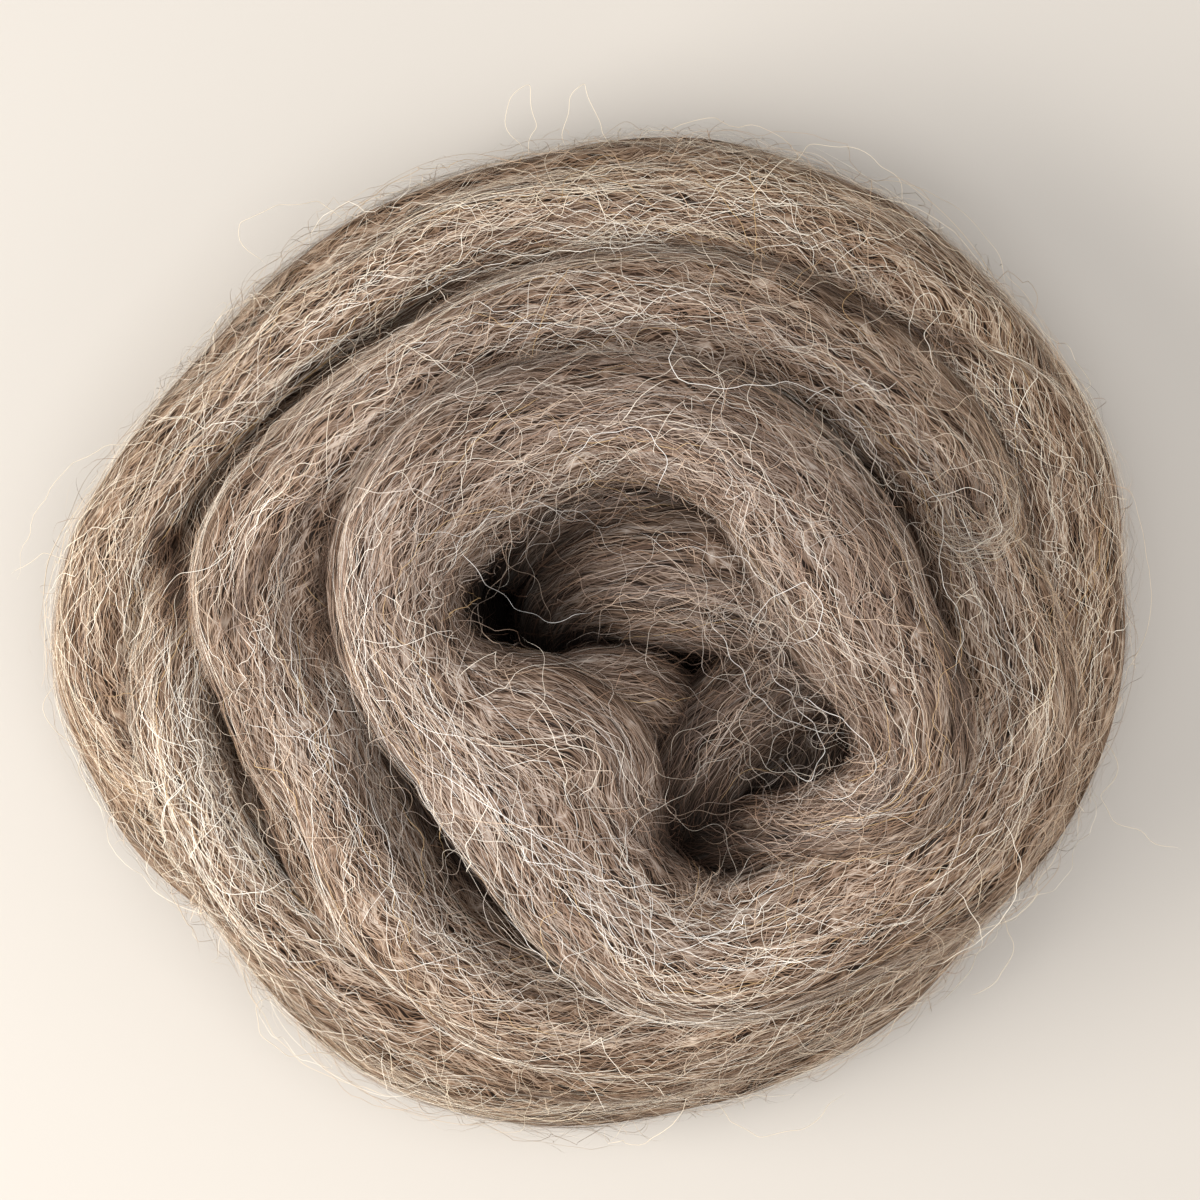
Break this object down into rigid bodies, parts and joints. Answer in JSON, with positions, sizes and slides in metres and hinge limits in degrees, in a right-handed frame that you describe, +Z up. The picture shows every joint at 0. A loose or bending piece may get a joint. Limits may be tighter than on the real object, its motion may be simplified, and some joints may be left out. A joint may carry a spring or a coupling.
{
  "type": "wool roving",
  "caption": "Loose length of natural grey-brown wool roving wound by hand into a round nest with an open dimple in the top, ready for spinning or felting.",
  "frame": {"origin": "middle of the outline on the surface that the nest rests on", "axes": "+Z up; +X along the longest way across the nest, towards the bend of the second turn; +Y across it"},
  "size_m": [0.1606, 0.1492, 0.0669],
  "materials": {
    "natural_grey_wool": "matt carded wool, undyed mix of dark brown, tan and white fibres"
  },
  "bodies": {
    "root": {"roving": "natural_grey_wool"}
  },
  "joints": []
}
